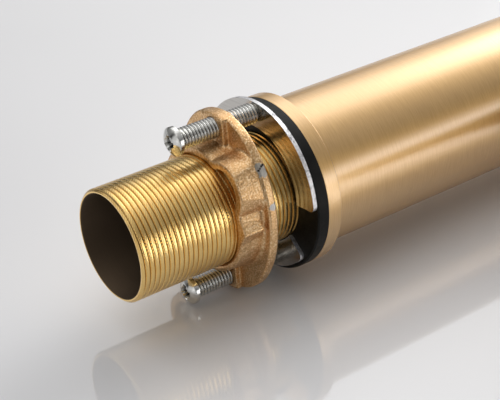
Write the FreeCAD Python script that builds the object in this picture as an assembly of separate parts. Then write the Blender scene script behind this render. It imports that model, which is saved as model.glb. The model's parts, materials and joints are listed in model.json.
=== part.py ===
"""Basin mixer tap: body, spout, lever and ceramic cartridge above the deck, and below it
a threaded shank with a cast mounting nut, two jack screws, a split washer and a rubber washer.

Millimetres. +Z is up along the shank and the body, and z = 0 is the deck surface, where the
base ring stands. The spout and the lever point along -Y.
"""

import FreeCAD
import Part

import math
import os

# Shank, the hollow threaded tube that goes down through the deck
shank_radius = 16.0
shank_bore_radius = 14.7
shank_length = 54.2
shank_end_chamfer = 0.6
shank_collar_radius = 17.0
shank_collar_height = 22.0

# Base ring
ring_radius = 24.95
ring_height = 4.6
ring_edge_break = 0.3
ring_foot_break = 0.15
ring_recess_depth = 1.2
base_seal_radius = 20.4
base_seal_width = 1.9
base_seal_height = 1.9

# Body
body_radius = 22.0
shell_wall = 1.8
shell_fit = 0.3
shell_rise_over_block = 3.0
shell_edge_break = 0.4

# Water ports under the valve block
port_floor_height = 44.0
port_radius = 4.5
port_depth = 12.0
port_spacing = 13.2
port_offset = 3.5
channel_radius = 2.6
outlet_offset = 7.5

# Cartridge
seat_over_spout = 15.0
cartridge_radius = 17.45
cartridge_wall = 2.6
base_plate_height = 2.5
base_plug_height = 1.5
seal_ring_height = 1.0
seal_ring_wall = 1.2
fixed_disc_height = 3.0
moving_disc_height = 3.5
moving_disc_radius = 11.5
mixing_recess_radius = 8.4
mixing_recess_depth = 1.8
carrier_height = 3.5
carrier_half_width = 9.0
housing_shoulder_height = 12.5
housing_shoulder_step = 1.65
housing_height = 20.0
housing_lip_height = 2.0
sleeve_flange_height = 3.3
sleeve_neck_radius = 12.2
sleeve_neck_top = 27.5
sleeve_rail_wall = 1.4
sleeve_rail_half_length = 8.0
pivot_height = 22.0
pivot_pin_radius = 1.5
spindle_width = 9.0
spindle_depth = 8.0
spindle_rise = 24.0
spindle_tip_radius = 2.0
spindle_tip_drop = 9.1
spindle_neck = 2.6
carrier_slot_gap = 0.25
sleeve_slot_gap = 0.15
lift_limit = 25.0

# Retaining nut and dome over the cartridge
retainer_thread_radius = 18.4
retainer_thread_length = 4.5
retainer_hex_width = 34.0
retainer_hex_corner_radius = 18.5
retainer_hex_height = 4.5
dome_radius = 20.0
dome_wall = 1.2
dome_opening_radius = 15.3

# Handle
handle_height = 29.0
handle_cavity_gap = 0.6
handle_front_gap = 1.5
handle_back_gap = 10.8
handle_boss_radius = 7.6
handle_boss_clearance = 1.3
handle_top_round = 1.6
lever_radius = 3.5
lever_reach = 52.0
lever_spigot_radius = 2.5
lever_spigot_stop = 1.0
lever_drop_from_top = 6.5
lever_seat_depth = 3.0
lever_end_round = 1.0
handle_screw_radius = 2.0
handle_screw_length = 9.0
handle_screw_drop = 7.0
index_plug_radius = 2.9
index_plug_depth = 2.5

# Spout
spout_height = 107.0
spout_radius = 12.0
spout_wall = 1.5
spout_reach = 115.0
spout_bend_radius = 24.0
spout_drop = 9.0
nipple_radius = 8.0
nipple_bore_radius = 5.0
nipple_depth = 6.5
nipple_reach = 17.0
nipple_seal_height = 0.9
nipple_seal_width = 1.8
nipple_seal_spacing = 6.0
spout_screw_radius = 2.5

# Aerator in the end of the spout
aerator_lip_height = 4.0
aerator_thread_length = 6.0
aerator_wall = 1.7
aerator_insert_height = 7.5
aerator_gasket_height = 1.6
aerator_slot_count = 6
aerator_slot_half_width = 0.8
aerator_slot_start = 2.6
aerator_slot_length = 3.9
aerator_ledge = 1.2

# Rubber washer and split steel washer
rubber_radius = 24.9
rubber_thickness = 3.6
rubber_bore_gap = 0.3
rubber_edge_break = 0.4
split_radius = 24.9
split_thickness = 1.25
split_bore_radius = 17.5
split_shift = 1.26
split_shift_direction = 160.0
split_mouth_direction = -70.0
split_mouth_half_angle = 21.5
split_corner_round = 1.6

# Cast mounting nut
nut_standoff = 9.55
nut_half_length = 26.6
nut_half_width = 21.4
nut_end_radius = 18.5
nut_casting_shift = 0.3
nut_flange_thickness = 2.8
nut_height = 10.15
nut_hub_radius = 18.3
nut_hub_draft = 0.5
nut_mouth_chamfer = 0.6
nut_lobe_direction = 50.0
nut_lobe_offset = 14.2
nut_lobe_radius = 8.6
nut_pocket_radius = 5.95
nut_pocket_depth = 4.5
nut_ear_half_width = 4.9
nut_ear_rise = 1.5
nut_lug_direction = 93.0
nut_lug_flat_distance = 17.4
nut_lug_flat_width = 6.5
nut_lug_length = 6.3
nut_root_round = 1.0
nut_edge_break = 0.4

# Jack screws in the nut's ears
screw_radius = 3.0
screw_edge_distance = 3.8
screw_length = 25.45
screw_head_radius = 4.2
screw_head_height = 2.9
screw_head_round = 1.2
screw_recess_width = 1.3
screw_recess_depth = 1.7
screw_point_chamfer = 0.7

# Clearances, and how far a cutter reaches past the faces that it opens
running_gap = 0.05
slip_gap = 0.2
seal_gap = 0.05
overrun = 1.0

# Places worked out from the sizes above
cartridge_seat_height = spout_height + seat_over_spout
screw_circle_radius = nut_half_length - screw_edge_distance
shell_bore_radius = body_radius - shell_wall
block_radius = shell_bore_radius - shell_fit
block_bottom = ring_height - ring_recess_depth
pivot_z = cartridge_seat_height + pivot_height
retainer_bottom = cartridge_seat_height + housing_shoulder_height
block_top = retainer_bottom + retainer_thread_length
body_top_height = block_top + shell_rise_over_block
housing_bore_radius = cartridge_radius - cartridge_wall
housing_neck_radius = cartridge_radius - housing_shoulder_step
disc_bottom = cartridge_seat_height + base_plate_height + base_plug_height
moving_disc_bottom = disc_bottom + fixed_disc_height
carrier_bottom = moving_disc_bottom + moving_disc_height
carrier_top = carrier_bottom + carrier_height
lip_bottom = cartridge_seat_height + housing_height - housing_lip_height
disc_travel = spindle_tip_drop * math.radians(lift_limit)
disc_rest_offset = disc_travel / 2
handle_top = pivot_z + handle_height
lever_z = handle_top - lever_drop_from_top
spout_bore_radius = spout_radius - spout_wall
spout_end_z = spout_height - spout_bend_radius - spout_drop
aerator_thread_radius = spout_bore_radius - running_gap
aerator_bore_radius = aerator_thread_radius - aerator_wall
aerator_bottom = spout_end_z - aerator_lip_height
aerator_top = spout_end_z + aerator_thread_length
gasket_bottom = aerator_bottom + aerator_ledge + aerator_insert_height
gasket_top = gasket_bottom + aerator_gasket_height
rubber_bottom = -rubber_thickness
split_bottom = rubber_bottom - split_thickness
nut_back = split_bottom - nut_standoff
nut_front = nut_back - nut_height
nut_flange_front = nut_back - nut_flange_thickness

X = FreeCAD.Vector(1, 0, 0)
Y = FreeCAD.Vector(0, 1, 0)
Z = FreeCAD.Vector(0, 0, 1)


def vector(x, y, z):
    return FreeCAD.Vector(x, y, z)


def cylinder(radius, z_low, z_high, x=0.0, y=0.0):
    """An upright cylinder between two heights."""
    return Part.makeCylinder(radius, z_high - z_low, vector(x, y, z_low), Z)


def tube(outer, inner, z_low, z_high, x=0.0, y=0.0):
    """An upright tube between two heights."""
    hole = cylinder(inner, z_low - overrun, z_high + overrun, x, y)
    return cylinder(outer, z_low, z_high, x, y).cut(hole)


def rod(radius, start, end):
    """A cylinder from one point to another."""
    along = end.sub(start)
    return Part.makeCylinder(radius, along.Length, start, along)


def box(x_low, x_high, y_low, y_high, z_low, z_high):
    return Part.makeBox(x_high - x_low, y_high - y_low, z_high - z_low, vector(x_low, y_low, z_low))


def turned(points, rounds=()):
    """A solid turned about Z from an outline of (radius, z) points.

    The piece of outline that ends at a point named in rounds is an arc through the middle point
    given there, and the others are straight.
    """
    middles = dict(rounds)
    edges = []
    for start, end in zip(points, points[1:] + points[:1]):
        low = vector(start[0], 0, start[1])
        high = vector(end[0], 0, end[1])
        if end in middles:
            r, z = middles[end]
            edges.append(Part.Arc(low, vector(r, 0, z), high).toShape())
        else:
            edges.append(Part.makeLine(low, high))
    return Part.Face(Part.Wire(edges)).revolve(vector(0, 0, 0), Z, 360)


def circles_at(shape, z, radius, tolerance=1e-4):
    """The round edges of a shape that lie at one height and have one radius."""
    found = []
    for edge in shape.Edges:
        flat = abs(edge.BoundBox.ZMin - z) < tolerance and abs(edge.BoundBox.ZMax - z) < tolerance
        round_edge = isinstance(edge.Curve, Part.Circle) and abs(edge.Curve.Radius - radius) < tolerance
        if flat and round_edge:
            found.append(edge)
    return found


def save(name, shape):
    """Writes one piece, after tidying its faces."""
    tidy = shape.removeSplitter()
    assert tidy.isValid(), name
    tidy.exportStep(os.path.join("parts", name + ".step"))
    solids = len(tidy.Solids)
    print(name, solids, "solid" if solids == 1 else "solids", round(tidy.Volume), "mm3")


# Deck end

def shank():
    """A threaded tube, at its major diameter here, with the collar that holds it in the block."""
    tip = -shank_length
    outline = [
        (shank_bore_radius, tip),
        (shank_radius - shank_end_chamfer, tip),
        (shank_radius, tip + shank_end_chamfer),
        (shank_radius, 0),
        (shank_collar_radius, 0),
        (shank_collar_radius, shank_collar_height),
        (shank_bore_radius, shank_collar_height),
    ]
    return turned(outline)


def base_ring():
    """The ring between body and deck, with a recess for the body and a seal groove below."""
    ring = tube(ring_radius, shank_collar_radius + slip_gap, 0, ring_height)
    ring = ring.makeChamfer(ring_edge_break, circles_at(ring, ring_height, ring_radius))
    ring = ring.makeChamfer(ring_foot_break, circles_at(ring, 0, ring_radius))
    recess = cylinder(body_radius + running_gap, block_bottom, ring_height + overrun)
    groove_reach = base_seal_width / 2 + seal_gap
    groove = tube(
        base_seal_radius + groove_reach,
        base_seal_radius - groove_reach,
        -overrun,
        slip_gap + base_seal_height,
    )
    return ring.cut(recess).cut(groove)


def base_seal():
    """The square-cut rubber seal in the base ring's groove, just clear of the deck plane."""
    half = base_seal_width / 2
    return tube(base_seal_radius + half, base_seal_radius - half, slip_gap, slip_gap + base_seal_height)


def rubber_washer():
    """The soft ring that bears on the deck from below."""
    ring = tube(rubber_radius, shank_radius + rubber_bore_gap, rubber_bottom, 0)
    return ring.makeChamfer(rubber_edge_break, circles_at(ring, rubber_bottom, rubber_radius))


def direction(angle, length=1.0):
    """A level vector at an angle from +X."""
    turn = math.radians(angle)
    return vector(length * math.cos(turn), length * math.sin(turn), 0)


def split_washer():
    """The steel horseshoe washer, slid on from the side, so it sits off centre."""
    shift = direction(split_shift_direction, split_shift)
    plate = tube(split_radius, split_bore_radius, split_bottom, rubber_bottom, shift.x, shift.y)
    reach = 2 * split_radius
    left = direction(split_mouth_direction - split_mouth_half_angle, reach)
    right = direction(split_mouth_direction + split_mouth_half_angle, reach)
    corners = [vector(0, 0, 0), left, right, vector(0, 0, 0)]
    mouth = Part.Face(Part.makePolygon(corners)).extrude(vector(0, 0, split_thickness + 2 * overrun))
    mouth.translate(vector(0, 0, split_bottom - overrun))
    plate = plate.cut(mouth)
    outer_corners = []
    for edge in plate.Edges:
        upright = edge.BoundBox.ZLength > split_thickness - 0.01
        middle = edge.CenterOfMass.sub(shift)
        if upright and math.hypot(middle.x, middle.y) > split_radius - 0.01:
            outer_corners.append(edge)
    return plate.makeFillet(split_corner_round, outer_corners)


# Cast mounting nut, the piece with the most to it

def oval_plate(inset, z_low, z_high):
    """The nut's oval outline as a plate: two end arcs and two side arcs that meet smoothly."""
    end_radius = nut_end_radius - inset
    half_length = nut_half_length - inset
    half_width = nut_half_width - inset
    end_centre = half_length - end_radius
    side_radius = (end_centre**2 + half_width**2 - end_radius**2) / (2 * (half_width - end_radius))
    side_centre = side_radius - half_width
    spread = side_radius / (side_radius - end_radius)
    meet_x = end_centre * spread
    meet_y = side_centre * (spread - 1)
    corners = [(meet_x, meet_y), (-meet_x, meet_y), (-meet_x, -meet_y), (meet_x, -meet_y)]
    middles = [(0, half_width), (-half_length, 0), (0, -half_width), (half_length, 0)]
    arcs = []
    for place, (x, y) in enumerate(middles):
        start = vector(*corners[place], z_low)
        end = vector(*corners[(place + 1) % 4], z_low)
        arcs.append(Part.Arc(start, vector(x, y, z_low), end).toShape())
    return Part.Face(Part.Wire(arcs)).extrude(vector(0, 0, z_high - z_low))


def rims_at(plate, z):
    """The edges of a plate that lie flat at one height."""
    flat = [edge for edge in plate.Edges if edge.BoundBox.ZLength < 1e-6]
    return [edge for edge in flat if abs(edge.BoundBox.ZMin - z) < 1e-4]


def eased_plate(z_low):
    """The oval plate from the nut's back to some height, with both rims eased."""
    plate = oval_plate(0, z_low, nut_back)
    return plate.makeChamfer(nut_edge_break, rims_at(plate, z_low) + rims_at(plate, nut_back))


def nut_flange():
    """The thin oval flange, thicker at both ends, where an ear holds each jack screw."""
    ear_front = nut_flange_front - nut_ear_rise
    reach = 2 * nut_half_length
    band = box(-reach, reach, -nut_ear_half_width, nut_ear_half_width, ear_front, nut_back)
    return eased_plate(nut_flange_front).fuse(eased_plate(ear_front).common(band))


def drafted_boss(radius):
    """A round boss on the flange, with an eased front edge, a little draft and a rounded root."""
    root_radius = radius + nut_hub_draft
    root_end = (root_radius + nut_root_round, nut_flange_front)
    outline = [
        (0, nut_front),
        (radius - nut_edge_break, nut_front),
        (radius, nut_front + nut_edge_break),
        (root_radius, nut_flange_front - nut_root_round),
        root_end,
        (0, nut_flange_front),
    ]
    inset = nut_root_round * (1 - math.sqrt(0.5))
    return turned(outline, [(root_end, (root_radius + inset, nut_flange_front - inset))])


def nut_lobe(turn):
    """The round bulge of the hub that leaves a wall round a pocket, kept inside the flange."""
    lobe = drafted_boss(nut_lobe_radius)
    lobe.translate(direction(nut_lobe_direction + turn, nut_lobe_offset))
    return lobe.common(oval_plate(nut_edge_break, nut_front, nut_flange_front))


def nut_lug(turn):
    """The corner of a hexagon on the hub's flank, where a wrench takes hold."""
    corner_distance = nut_lug_flat_distance / math.cos(math.pi / 6)
    corner_direction = nut_lug_direction + turn
    corner = direction(corner_direction, corner_distance)
    one_end = corner.add(direction(corner_direction + 120, nut_lug_flat_width))
    other_end = corner.add(direction(corner_direction - 120, nut_lug_flat_width))
    outline = [vector(0, 0, 0), other_end, corner, one_end, vector(0, 0, 0)]
    lug = Part.Face(Part.makePolygon(outline)).extrude(vector(0, 0, nut_lug_length))
    lug.translate(vector(0, 0, nut_front))
    return lug


def nut_pocket(turn):
    """The round pocket in a lobe, open to the thread."""
    centre = direction(nut_lobe_direction + turn, nut_lobe_offset)
    floor = nut_front + nut_pocket_depth
    return cylinder(nut_pocket_radius, nut_front - overrun, floor, centre.x, centre.y)


def nut_bore():
    """The threaded hole, at its major diameter here, with a chamfered mouth at the front."""
    thread_radius = shank_radius + running_gap
    mouth_radius = thread_radius + nut_mouth_chamfer
    outline = [
        (0, nut_front - overrun),
        (mouth_radius, nut_front - overrun),
        (mouth_radius, nut_front),
        (thread_radius, nut_front + nut_mouth_chamfer),
        (thread_radius, nut_back + overrun),
        (0, nut_back + overrun),
    ]
    return turned(outline)


def mounting_nut():
    """The whole casting, a little off centre, then what is machined into it."""
    raised = [drafted_boss(nut_hub_radius)]
    for turn in (0, 180):
        raised.append(nut_lobe(turn))
        raised.append(nut_lug(turn))
    casting = nut_flange().fuse(raised).removeSplitter()
    casting = casting.cut(nut_pocket(0)).cut(nut_pocket(180))
    casting.translate(vector(-nut_casting_shift, 0, 0))
    casting = casting.cut(nut_bore())
    for side in (-1, 1):
        place = side * screw_circle_radius
        tapped_radius = screw_radius + running_gap
        casting = casting.cut(cylinder(tapped_radius, nut_front - overrun, nut_back + overrun, place))
    return casting


def jack_screw(side):
    """A pan-head screw with a cross recess, its point on the split washer."""
    head_seat = split_bottom - screw_length
    head_low = head_seat - screw_head_height
    head = cylinder(screw_head_radius, head_low, head_seat)
    head = head.makeFillet(screw_head_round, circles_at(head, head_low, screw_head_radius))
    shaft = cylinder(screw_radius, head_seat, split_bottom)
    shaft = shaft.makeChamfer(screw_point_chamfer, circles_at(shaft, split_bottom, screw_radius))
    half = screw_recess_width / 2
    reach = screw_head_radius - screw_head_round
    floor = head_low + screw_recess_depth
    across = box(-reach, reach, -half, half, head_low - overrun, floor)
    along = box(-half, half, -reach, reach, head_low - overrun, floor)
    screw = head.fuse(shaft).cut(across.fuse(along))
    screw.translate(vector(side * screw_circle_radius, 0, 0))
    return screw


# Body

def body_shell():
    """The plain outer tube, with a round window for the spout's nipple."""
    shell = tube(body_radius, shell_bore_radius, block_bottom, body_top_height)
    shell = shell.makeChamfer(shell_edge_break, circles_at(shell, body_top_height, body_radius))
    window = rod(
        nipple_radius + slip_gap,
        vector(0, -block_radius / 2, spout_height),
        vector(0, -body_radius - overrun, spout_height),
    )
    return shell.cut(window)


def water_ports():
    """The places of the two hose ports, seen from below."""
    return [(side * port_spacing / 2, port_offset) for side in (-1, 1)]


def valve_block():
    """The inner brass body: hose ports, waterways, cartridge chamber and a skirt for the shank."""
    block = cylinder(block_radius, block_bottom, block_top)
    block_low = block_bottom - overrun
    block = block.cut(cylinder(shank_bore_radius, block_low, port_floor_height))
    block = block.cut(cylinder(shank_collar_radius + running_gap, block_low, shank_collar_height))
    chamber = cylinder(cartridge_radius + slip_gap, cartridge_seat_height, block_top + overrun)
    thread = cylinder(retainer_thread_radius + running_gap, retainer_bottom, block_top + overrun)
    block = block.cut(chamber).cut(thread)
    channel_top = cartridge_seat_height + overrun
    port_top = port_floor_height + port_depth
    for x, y in water_ports():
        block = block.cut(cylinder(port_radius, port_floor_height - overrun, port_top, x, y))
        block = block.cut(cylinder(channel_radius, port_floor_height, channel_top, x, y))
    down = cylinder(channel_radius, spout_height, channel_top, 0, -outlet_offset)
    nipple_end = -block_radius + nipple_depth
    across = rod(
        nipple_bore_radius,
        vector(0, -outlet_offset + channel_radius + overrun, spout_height),
        vector(0, nipple_end - overrun, spout_height),
    )
    nipple_seat = rod(
        nipple_radius + running_gap,
        vector(0, nipple_end, spout_height),
        vector(0, -block_radius - overrun, spout_height),
    )
    return block.cut(down).cut(across).cut(nipple_seat)


# Cartridge

def seal_places():
    """The three openings between block and cartridge: two inlets and the outlet."""
    return water_ports() + [(0, -outlet_offset)]


def seal_rings(z_low):
    """Three flat rings that seal the openings at one face of the cartridge's base."""
    rings = []
    for x, y in seal_places():
        outer = channel_radius + seal_ring_wall
        rings.append(tube(outer, channel_radius, z_low, z_low + seal_ring_height, x, y))
    return Part.makeCompound(rings)


def cartridge_base():
    """The cartridge's floor, with recesses for seals below and above."""
    plate_top = cartridge_seat_height + base_plate_height
    base = cylinder(cartridge_radius, cartridge_seat_height, plate_top)
    base = base.fuse(cylinder(housing_bore_radius - seal_gap, plate_top, disc_bottom))
    below = cartridge_seat_height - overrun
    above = disc_bottom + overrun
    recess_radius = channel_radius + seal_ring_wall + seal_gap
    for x, y in seal_places():
        base = base.cut(cylinder(channel_radius, below, above, x, y))
        base = base.cut(cylinder(recess_radius, below, cartridge_seat_height + seal_ring_height, x, y))
        base = base.cut(cylinder(recess_radius, disc_bottom - seal_ring_height, above, x, y))
    return base


def cartridge_housing():
    """The cartridge's case, with a shoulder for the retainer and a lip over the sleeve."""
    low = cartridge_seat_height + base_plate_height
    shoulder = cartridge_seat_height + housing_shoulder_height
    top = cartridge_seat_height + housing_height
    outline = [
        (housing_bore_radius, low),
        (cartridge_radius, low),
        (cartridge_radius, shoulder),
        (housing_neck_radius, shoulder),
        (housing_neck_radius, top),
        (sleeve_neck_radius + slip_gap, top),
        (sleeve_neck_radius + slip_gap, lip_bottom),
        (housing_bore_radius, lip_bottom),
    ]
    return turned(outline)


def fixed_disc():
    """The lower ceramic disc, with an opening over each port."""
    disc = cylinder(housing_bore_radius - slip_gap, disc_bottom, moving_disc_bottom)
    for x, y in seal_places():
        disc = disc.cut(cylinder(channel_radius, disc_bottom - overrun, carrier_bottom, x, y))
    return disc


def moving_disc():
    """The upper ceramic disc, hollow below so that it joins the openings it uncovers."""
    disc = cylinder(moving_disc_radius, moving_disc_bottom, carrier_bottom, 0, disc_rest_offset)
    recess = cylinder(
        mixing_recess_radius,
        disc_bottom,
        moving_disc_bottom + mixing_recess_depth,
        0,
        disc_rest_offset,
    )
    return disc.cut(recess)


def disc_carrier():
    """The slide on top of the moving disc, with flats for its guides and a slot for the spindle."""
    plate = cylinder(moving_disc_radius, carrier_bottom, carrier_top, 0, disc_rest_offset)
    reach = 2 * moving_disc_radius
    flats = box(-carrier_half_width, carrier_half_width, -reach, reach, carrier_bottom, carrier_top)
    slot_half = spindle_tip_radius + carrier_slot_gap
    slot_end = spindle_width / 2 + slip_gap
    low = carrier_bottom - overrun
    slot = box(-slot_end, slot_end, -slot_half, slot_half, low, carrier_top + overrun)
    return plate.common(flats).cut(slot)


def cartridge_sleeve():
    """The turning sleeve: it carries the pivot pin and guides the disc carrier."""
    flange_bottom = lip_bottom - slip_gap - sleeve_flange_height
    flange_top = lip_bottom - slip_gap
    neck_top = cartridge_seat_height + sleeve_neck_top
    sleeve = cylinder(housing_bore_radius - slip_gap, flange_bottom, flange_top)
    sleeve = sleeve.fuse(cylinder(sleeve_neck_radius, flange_bottom, neck_top))
    rail_in = carrier_half_width + slip_gap
    rail_out = rail_in + sleeve_rail_wall
    for side in (-1, 1):
        x_low = min(side * rail_in, side * rail_out)
        x_high = max(side * rail_in, side * rail_out)
        rail = box(
            x_low,
            x_high,
            -sleeve_rail_half_length,
            sleeve_rail_half_length,
            carrier_bottom + 2 * slip_gap,
            flange_bottom + seal_gap,
        )
        sleeve = sleeve.fuse(rail)
    lean = math.radians(lift_limit)
    above = sleeve_neck_top - pivot_height
    slot_y = spindle_depth / 2 / math.cos(lean) + above * math.tan(lean) + 2 * slip_gap
    slot_x = spindle_width / 2 + sleeve_slot_gap
    slot = box(-slot_x, slot_x, -slot_y, slot_y, carrier_bottom, neck_top + overrun)
    return sleeve.cut(slot).cut(pin_hole(0))


def pin_hole(gap):
    """The level hole for the pivot pin."""
    reach = sleeve_neck_radius + overrun
    return rod(pivot_pin_radius + gap, vector(-reach, 0, pivot_z), vector(reach, 0, pivot_z))


def pivot_pin():
    reach = math.sqrt(sleeve_neck_radius**2 - pivot_pin_radius**2) - slip_gap
    return rod(pivot_pin_radius, vector(-reach, 0, pivot_z), vector(reach, 0, pivot_z))


def spindle():
    """The lever's inner end: a square stem above the pivot, a neck and a round tip below."""
    half_x = spindle_width / 2
    half_y = spindle_depth / 2
    tip_z = pivot_z - spindle_tip_drop
    block_low = pivot_z - half_y - pivot_pin_radius
    stem = box(-half_x, half_x, -half_y, half_y, block_low, pivot_z + spindle_rise)
    neck = box(-half_x, half_x, -spindle_neck / 2, spindle_neck / 2, tip_z, block_low)
    tip = rod(spindle_tip_radius, vector(-half_x, 0, tip_z), vector(half_x, 0, tip_z))
    return stem.fuse([neck, tip]).cut(pin_hole(running_gap))


def cartridge_retainer():
    """The brass ring nut that screws into the block and holds the cartridge down."""
    hex_low = block_top
    hex_high = hex_low + retainer_hex_height
    thread = cylinder(retainer_thread_radius, retainer_bottom, hex_low)
    corner = retainer_hex_width / 2 / math.cos(math.pi / 6)
    points = [direction(60 * step, corner) for step in range(7)]
    head = Part.Face(Part.makePolygon(points)).extrude(vector(0, 0, hex_high - hex_low))
    head.translate(vector(0, 0, hex_low))
    head = head.common(cylinder(retainer_hex_corner_radius, hex_low, hex_high))
    bore = cylinder(housing_neck_radius + slip_gap, retainer_bottom - overrun, hex_high + overrun)
    return thread.fuse(head).cut(bore)


def dome_cover():
    """The trim between body and handle: a ball zone round the lever's pivot, on a short skirt."""
    skirt = cylinder(dome_radius, block_top, pivot_z)
    ball = Part.makeSphere(dome_radius, vector(0, 0, pivot_z))
    inside = Part.makeSphere(dome_radius - dome_wall, vector(0, 0, pivot_z))
    upper = cylinder(2 * dome_radius, pivot_z, pivot_z + 2 * dome_radius)
    cover = skirt.fuse(ball.common(upper))
    cover = cover.cut(cylinder(dome_radius - dome_wall, block_top - overrun, pivot_z))
    cover = cover.cut(inside.common(upper))
    opening_z = pivot_z + math.sqrt((dome_radius - dome_wall) ** 2 - dome_opening_radius**2) / 2
    return cover.cut(cylinder(dome_opening_radius, opening_z, pivot_z + 2 * dome_radius))


# Handle

def handle_underside():
    """The solid below the handle's sloping lower edge, low over the spout and high at the back."""
    front_z = body_top_height + handle_front_gap
    back_z = body_top_height + handle_back_gap
    reach = 2 * body_radius
    slope = (back_z - front_z) / (2 * body_radius)
    low_z = body_top_height - reach
    points = [
        vector(-reach, -reach, low_z),
        vector(-reach, reach, low_z),
        vector(-reach, reach, back_z + slope * (reach - body_radius)),
        vector(-reach, -reach, front_z - slope * (reach - body_radius)),
    ]
    face = Part.Face(Part.makePolygon(points + points[:1]))
    return face.extrude(vector(2 * reach, 0, 0))


def handle_cap():
    """The handle: a short drum, hollowed to a ball inside, with a boss on the spindle."""
    drum = cylinder(body_radius, body_top_height, handle_top)
    drum = drum.makeFillet(handle_top_round, circles_at(drum, handle_top, body_radius))
    centre = vector(0, 0, pivot_z)
    cavity_radius = dome_radius + handle_cavity_gap
    cavity = Part.makeSphere(cavity_radius, centre)
    boss_z = pivot_z + math.sqrt(dome_radius**2 - dome_opening_radius**2) + handle_boss_clearance
    boss = cylinder(handle_boss_radius, boss_z, handle_top - lever_drop_from_top)
    cap = drum.cut(cavity).fuse(boss).cut(handle_underside())
    half_x = spindle_width / 2 + running_gap
    half_y = spindle_depth / 2 + running_gap
    socket = box(-half_x, half_x, -half_y, half_y, pivot_z, pivot_z + spindle_rise + slip_gap)
    cap = cap.cut(socket)
    cap = cap.cut(lever_hole())
    screw_z = handle_top - handle_screw_drop
    screw_hole = rod(
        handle_screw_radius + running_gap,
        vector(0, 0, screw_z),
        vector(0, body_radius + overrun, screw_z),
    )
    plug_hole = rod(
        index_plug_radius + running_gap,
        vector(0, body_radius - index_plug_depth, screw_z),
        vector(0, body_radius + overrun, screw_z),
    )
    return cap.cut(screw_hole).cut(plug_hole)


def lever_hole():
    """The seat at the front of the handle for the lever, with a tapped hole for its spigot."""
    tapped = rod(
        lever_spigot_radius + running_gap,
        vector(0, -handle_boss_radius + lever_spigot_stop, lever_z),
        vector(0, -body_radius - overrun, lever_z),
    )
    seat = rod(
        lever_radius + running_gap,
        vector(0, -body_radius + lever_seat_depth, lever_z),
        vector(0, -body_radius - overrun, lever_z),
    )
    return tapped.fuse(seat)


def lever():
    """A plain round lever with a thinner threaded spigot."""
    root = vector(0, -body_radius + lever_seat_depth, lever_z)
    end = vector(0, -body_radius - lever_reach, lever_z)
    bar = rod(lever_radius, root, end)
    tip = [e for e in bar.Edges if e.BoundBox.YLength < 1e-6 and abs(e.BoundBox.YMin - end.y) < 1e-4]
    bar = bar.makeFillet(lever_end_round, tip)
    spigot_end = vector(0, -handle_boss_radius + lever_spigot_stop - slip_gap, lever_z)
    spigot = rod(lever_spigot_radius, spigot_end, root)
    return bar.fuse(spigot)


def handle_screw():
    """The grub screw that grips the spindle from the back."""
    z = handle_top - handle_screw_drop
    start = spindle_depth / 2
    return rod(handle_screw_radius, vector(0, start, z), vector(0, start + handle_screw_length, z))


def index_plug():
    """The small plug that closes the grub screw's hole."""
    z = handle_top - handle_screw_drop
    inner = vector(0, body_radius - index_plug_depth, z)
    plug = rod(index_plug_radius, inner, vector(0, body_radius + overrun, z))
    return plug.common(cylinder(body_radius, z - body_radius, z + body_radius))


# Spout

def spout_path(radius):
    """A level round bar from the axis, a quarter bend down, and a short drop."""
    bend_y = -(spout_reach - spout_bend_radius)
    level = rod(radius, vector(0, 0, spout_height), vector(0, bend_y, spout_height))
    face = Part.Face(Part.Wire([Part.makeCircle(radius, vector(0, bend_y, spout_height), Y)]))
    pivot = vector(0, bend_y, spout_height - spout_bend_radius)
    bend = face.revolve(pivot, X, 90)
    drop_top = spout_height - spout_bend_radius
    drop = cylinder(radius, spout_end_z, drop_top, 0, -spout_reach)
    return level.fuse([bend, drop])


def nipple_socket():
    """The thick root inside the spout that takes the nipple."""
    far = -body_radius - nipple_reach
    return rod(spout_radius - spout_wall / 2, vector(0, 0, spout_height), vector(0, far, spout_height))


def aerator_seat():
    """The ledge inside the spout that the aerator's gasket closes on."""
    return tube(
        spout_radius - spout_wall / 2,
        aerator_bore_radius - 2 * aerator_ledge,
        gasket_top,
        gasket_top + aerator_ledge,
        0,
        -spout_reach,
    )


def spout():
    """The spout tube, coped to the round body, with a bored root."""
    hollow = spout_path(spout_bore_radius)
    pipe = spout_path(spout_radius).cut(hollow).fuse([nipple_socket(), aerator_seat()])
    bore = rod(
        nipple_radius + running_gap,
        vector(0, 0, spout_height),
        vector(0, -body_radius - nipple_reach - overrun, spout_height),
    )
    cope_top = spout_height + 2 * spout_radius
    cope = cylinder(body_radius + running_gap, spout_end_z - overrun, cope_top)
    return pipe.cut(bore).cut(cope).cut(spout_screw_hole())


def spout_screw_y():
    return -body_radius - nipple_reach / 2 - nipple_seal_spacing / 2


def spout_screw_hole():
    """The tapped hole below the spout's root."""
    y = spout_screw_y()
    low = spout_height - spout_radius - overrun
    return cylinder(spout_screw_radius + running_gap, low, spout_height - nipple_bore_radius, 0, y)


def spout_screw():
    """The grub screw that locks the spout on its nipple."""
    low = spout_height - spout_radius + slip_gap
    return cylinder(spout_screw_radius, low, spout_height - nipple_radius, 0, spout_screw_y())


def seal_centres():
    """Where the two seals sit along the nipple, nearer the body than the grub screw."""
    middle = -body_radius - nipple_reach / 2
    return [middle, middle + nipple_seal_spacing]


def spout_nipple():
    """The hollow stub that screws into the block and carries the spout."""
    start = -block_radius + nipple_depth
    end = -body_radius - nipple_reach + slip_gap
    stub = rod(nipple_radius, vector(0, start, spout_height), vector(0, end, spout_height))
    hole_start = vector(0, start + overrun, spout_height)
    hole_end = vector(0, end - overrun, spout_height)
    stub = stub.cut(rod(nipple_bore_radius, hole_start, hole_end))
    for y in seal_centres():
        stub = stub.cut(nipple_band(y, nipple_seal_width + 2 * seal_gap, nipple_radius + overrun))
    return stub


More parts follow.
